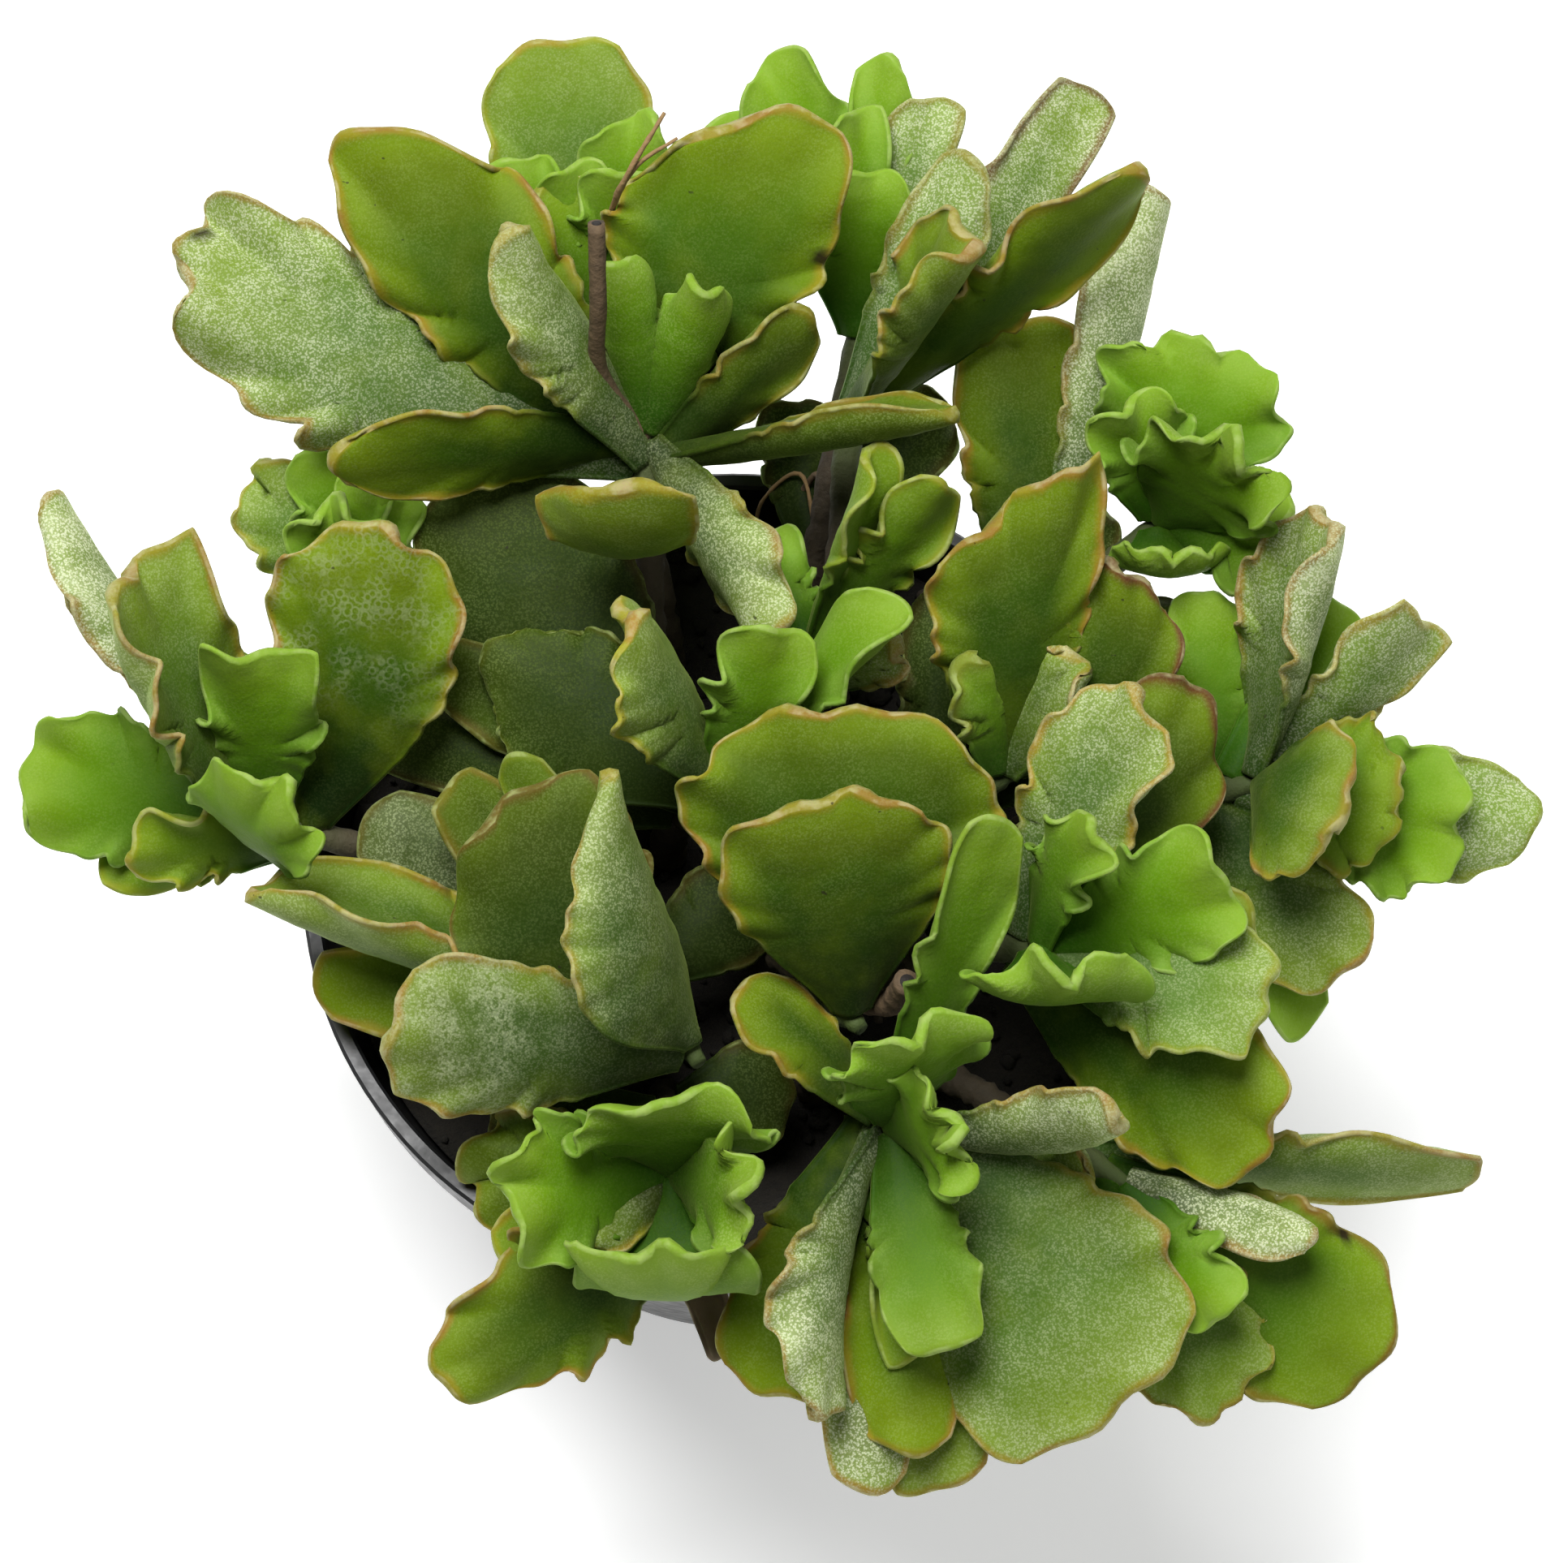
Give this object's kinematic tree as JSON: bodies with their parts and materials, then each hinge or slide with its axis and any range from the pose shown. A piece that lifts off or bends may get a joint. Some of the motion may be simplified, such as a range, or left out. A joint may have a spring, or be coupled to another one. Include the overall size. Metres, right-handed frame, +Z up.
{
  "type": "potted adromischus cristatus zeyheri",
  "caption": "Bushy clump of short leafy stems with thick, wavy-edged leaves, rooted in soil in a round tapered nursery pot.",
  "frame": {"origin": "centre of the flat underside of the pot's base, which stands on the surface", "axes": "+Z up along the pot's axis; -Y towards the side that the picture is taken from; +X to that viewer's right"},
  "size_m": [0.184, 0.1764, 0.1414],
  "materials": {
    "leaf": "satin",
    "pot": "satin",
    "soil": "matte"
  },
  "bodies": {
    "root": {"pot": "pot", "soil": "soil", "shoot_back_left": "leaf", "shoot_upper_left": "leaf", "shoot_back": "leaf", "shoot_upper_right": "leaf", "shoot_right_back": "leaf", "shoot_dark_right": "leaf", "shoot_right": "leaf", "shoot_left_back": "leaf", "shoot_left": "leaf", "shoot_middle_left": "leaf", "shoot_middle_back": "leaf", "shoot_middle_young": "leaf", "shoot_middle": "leaf", "shoot_middle_right": "leaf", "shoot_front": "leaf", "shoot_front_left": "leaf", "shoot_front_right": "leaf"}
  },
  "joints": []
}
